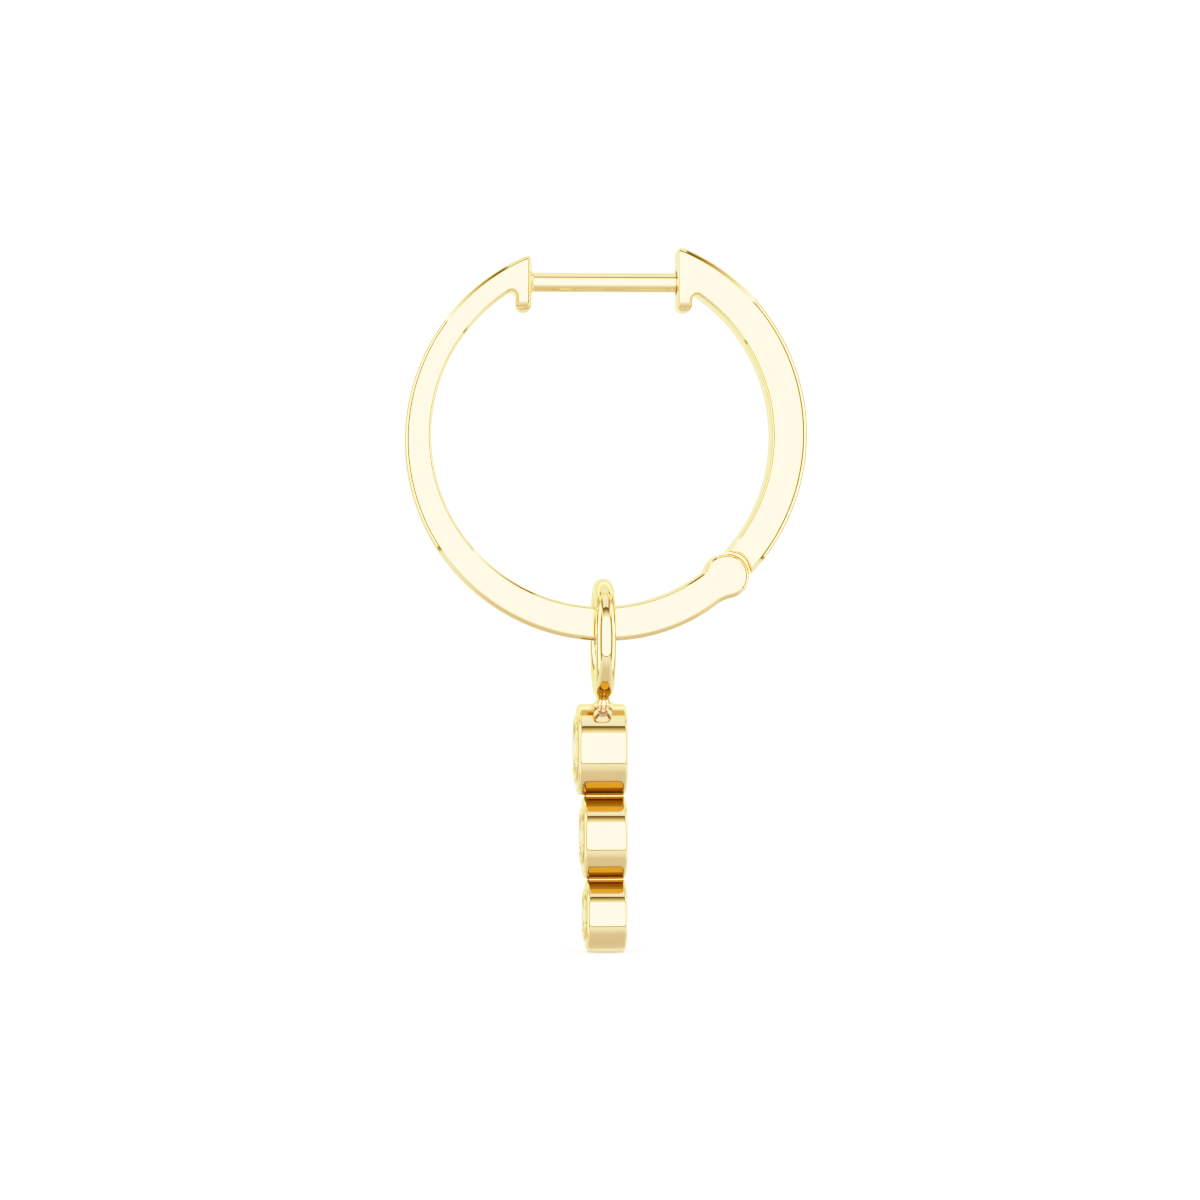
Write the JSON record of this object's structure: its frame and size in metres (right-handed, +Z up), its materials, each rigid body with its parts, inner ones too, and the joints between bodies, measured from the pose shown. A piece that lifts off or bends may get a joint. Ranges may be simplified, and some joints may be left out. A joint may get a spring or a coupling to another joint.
{
  "type": "hoop charm earring",
  "caption": "Hinged hoop earring with an ear post that enters a catch, and a charm of bezel-set round stones that hangs free on a ring.",
  "frame": {"origin": "on the axis of the ear post, above the middle of the hoop", "axes": "+Z up, +X along the axis of the hoop, -Y to the front, where the stones face"},
  "size_m": [0.0046, 0.015, 0.0263],
  "materials": {
    "gold": "14 carat yellow gold, cast and soldered, polished to a mirror",
    "stone": "clear round brilliant, cut and polished"
  },
  "bodies": {
    "hoop": {"hoop_front": "gold", "hinge_pin": "gold"},
    "back_arm": {"hoop_back": "gold"},
    "charm": {"charm_setting": "gold", "stone_top": "stone", "stone_middle": "stone", "stone_bottom": "stone"}
  },
  "joints": [
    {"name": "arm_hinge", "type": "hinge", "parent": "hoop", "child": "back_arm", "pos_m": [0, 0.00465, -0.01095], "axis": [-1, 0, 0], "range_deg": [0, 75]},
    {"name": "charm_swing", "type": "hinge", "parent": "hoop", "child": "charm", "pos_m": [0, 0.00008, -0.01175], "axis": [1, 0, 0], "range_deg": [-55, 55]}
  ]
}
